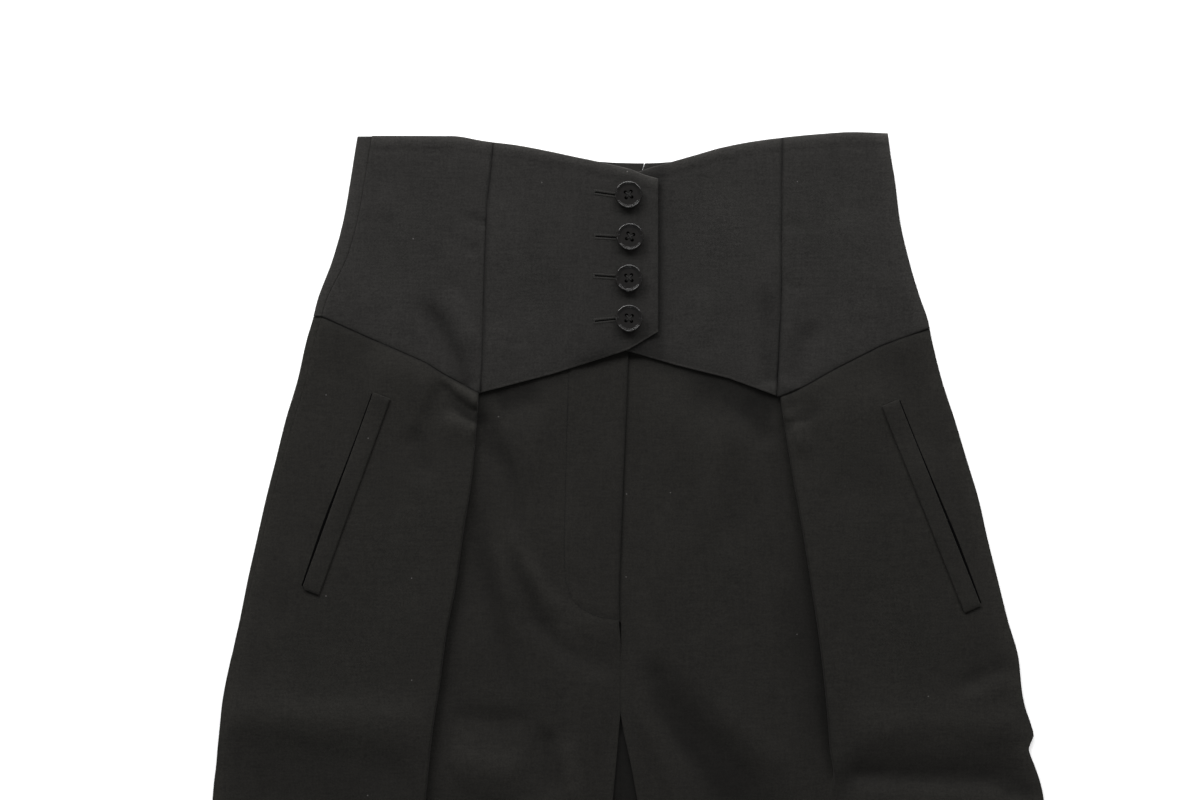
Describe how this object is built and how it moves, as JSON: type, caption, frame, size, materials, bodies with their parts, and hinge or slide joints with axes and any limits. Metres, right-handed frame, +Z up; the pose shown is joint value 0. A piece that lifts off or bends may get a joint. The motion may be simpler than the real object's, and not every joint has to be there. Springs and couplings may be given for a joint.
{
  "type": "tapered trousers",
  "caption": "High-waisted, pleated, tapered trousers lying flat, with a corset-like yoke buttoned over in front, a fly flap and slanting welt pockets.",
  "frame": {"origin": "on the surface that the trousers lie on, under the middle of the garment's box", "axes": "+X to the viewer's right across the garment, +Y along it from the hems to the waist, +Z up from the surface, out of the front"},
  "size_m": [0.5576, 1.0599, 0.0127],
  "materials": {
    "suiting": "matt, finely woven wool-like suiting",
    "yoke_suiting": "matt, finely woven wool-like suiting, interfaced",
    "button": "polished dark rim round a satin dished middle"
  },
  "bodies": {
    "root": {"yoke_front_side_right": "yoke_suiting", "yoke_front_centre_right": "yoke_suiting", "yoke_front_centre_left": "yoke_suiting", "yoke_front_side_left": "yoke_suiting", "yoke_back_right": "yoke_suiting", "yoke_back_left": "yoke_suiting", "leg_front_right": "suiting", "leg_front_left": "suiting", "leg_back_right": "suiting", "leg_back_left": "suiting", "pocket_welt_right": "suiting", "pocket_welt_left": "suiting", "button_1": "button", "button_2": "button", "button_3": "button", "button_4": "button"}
  },
  "joints": []
}
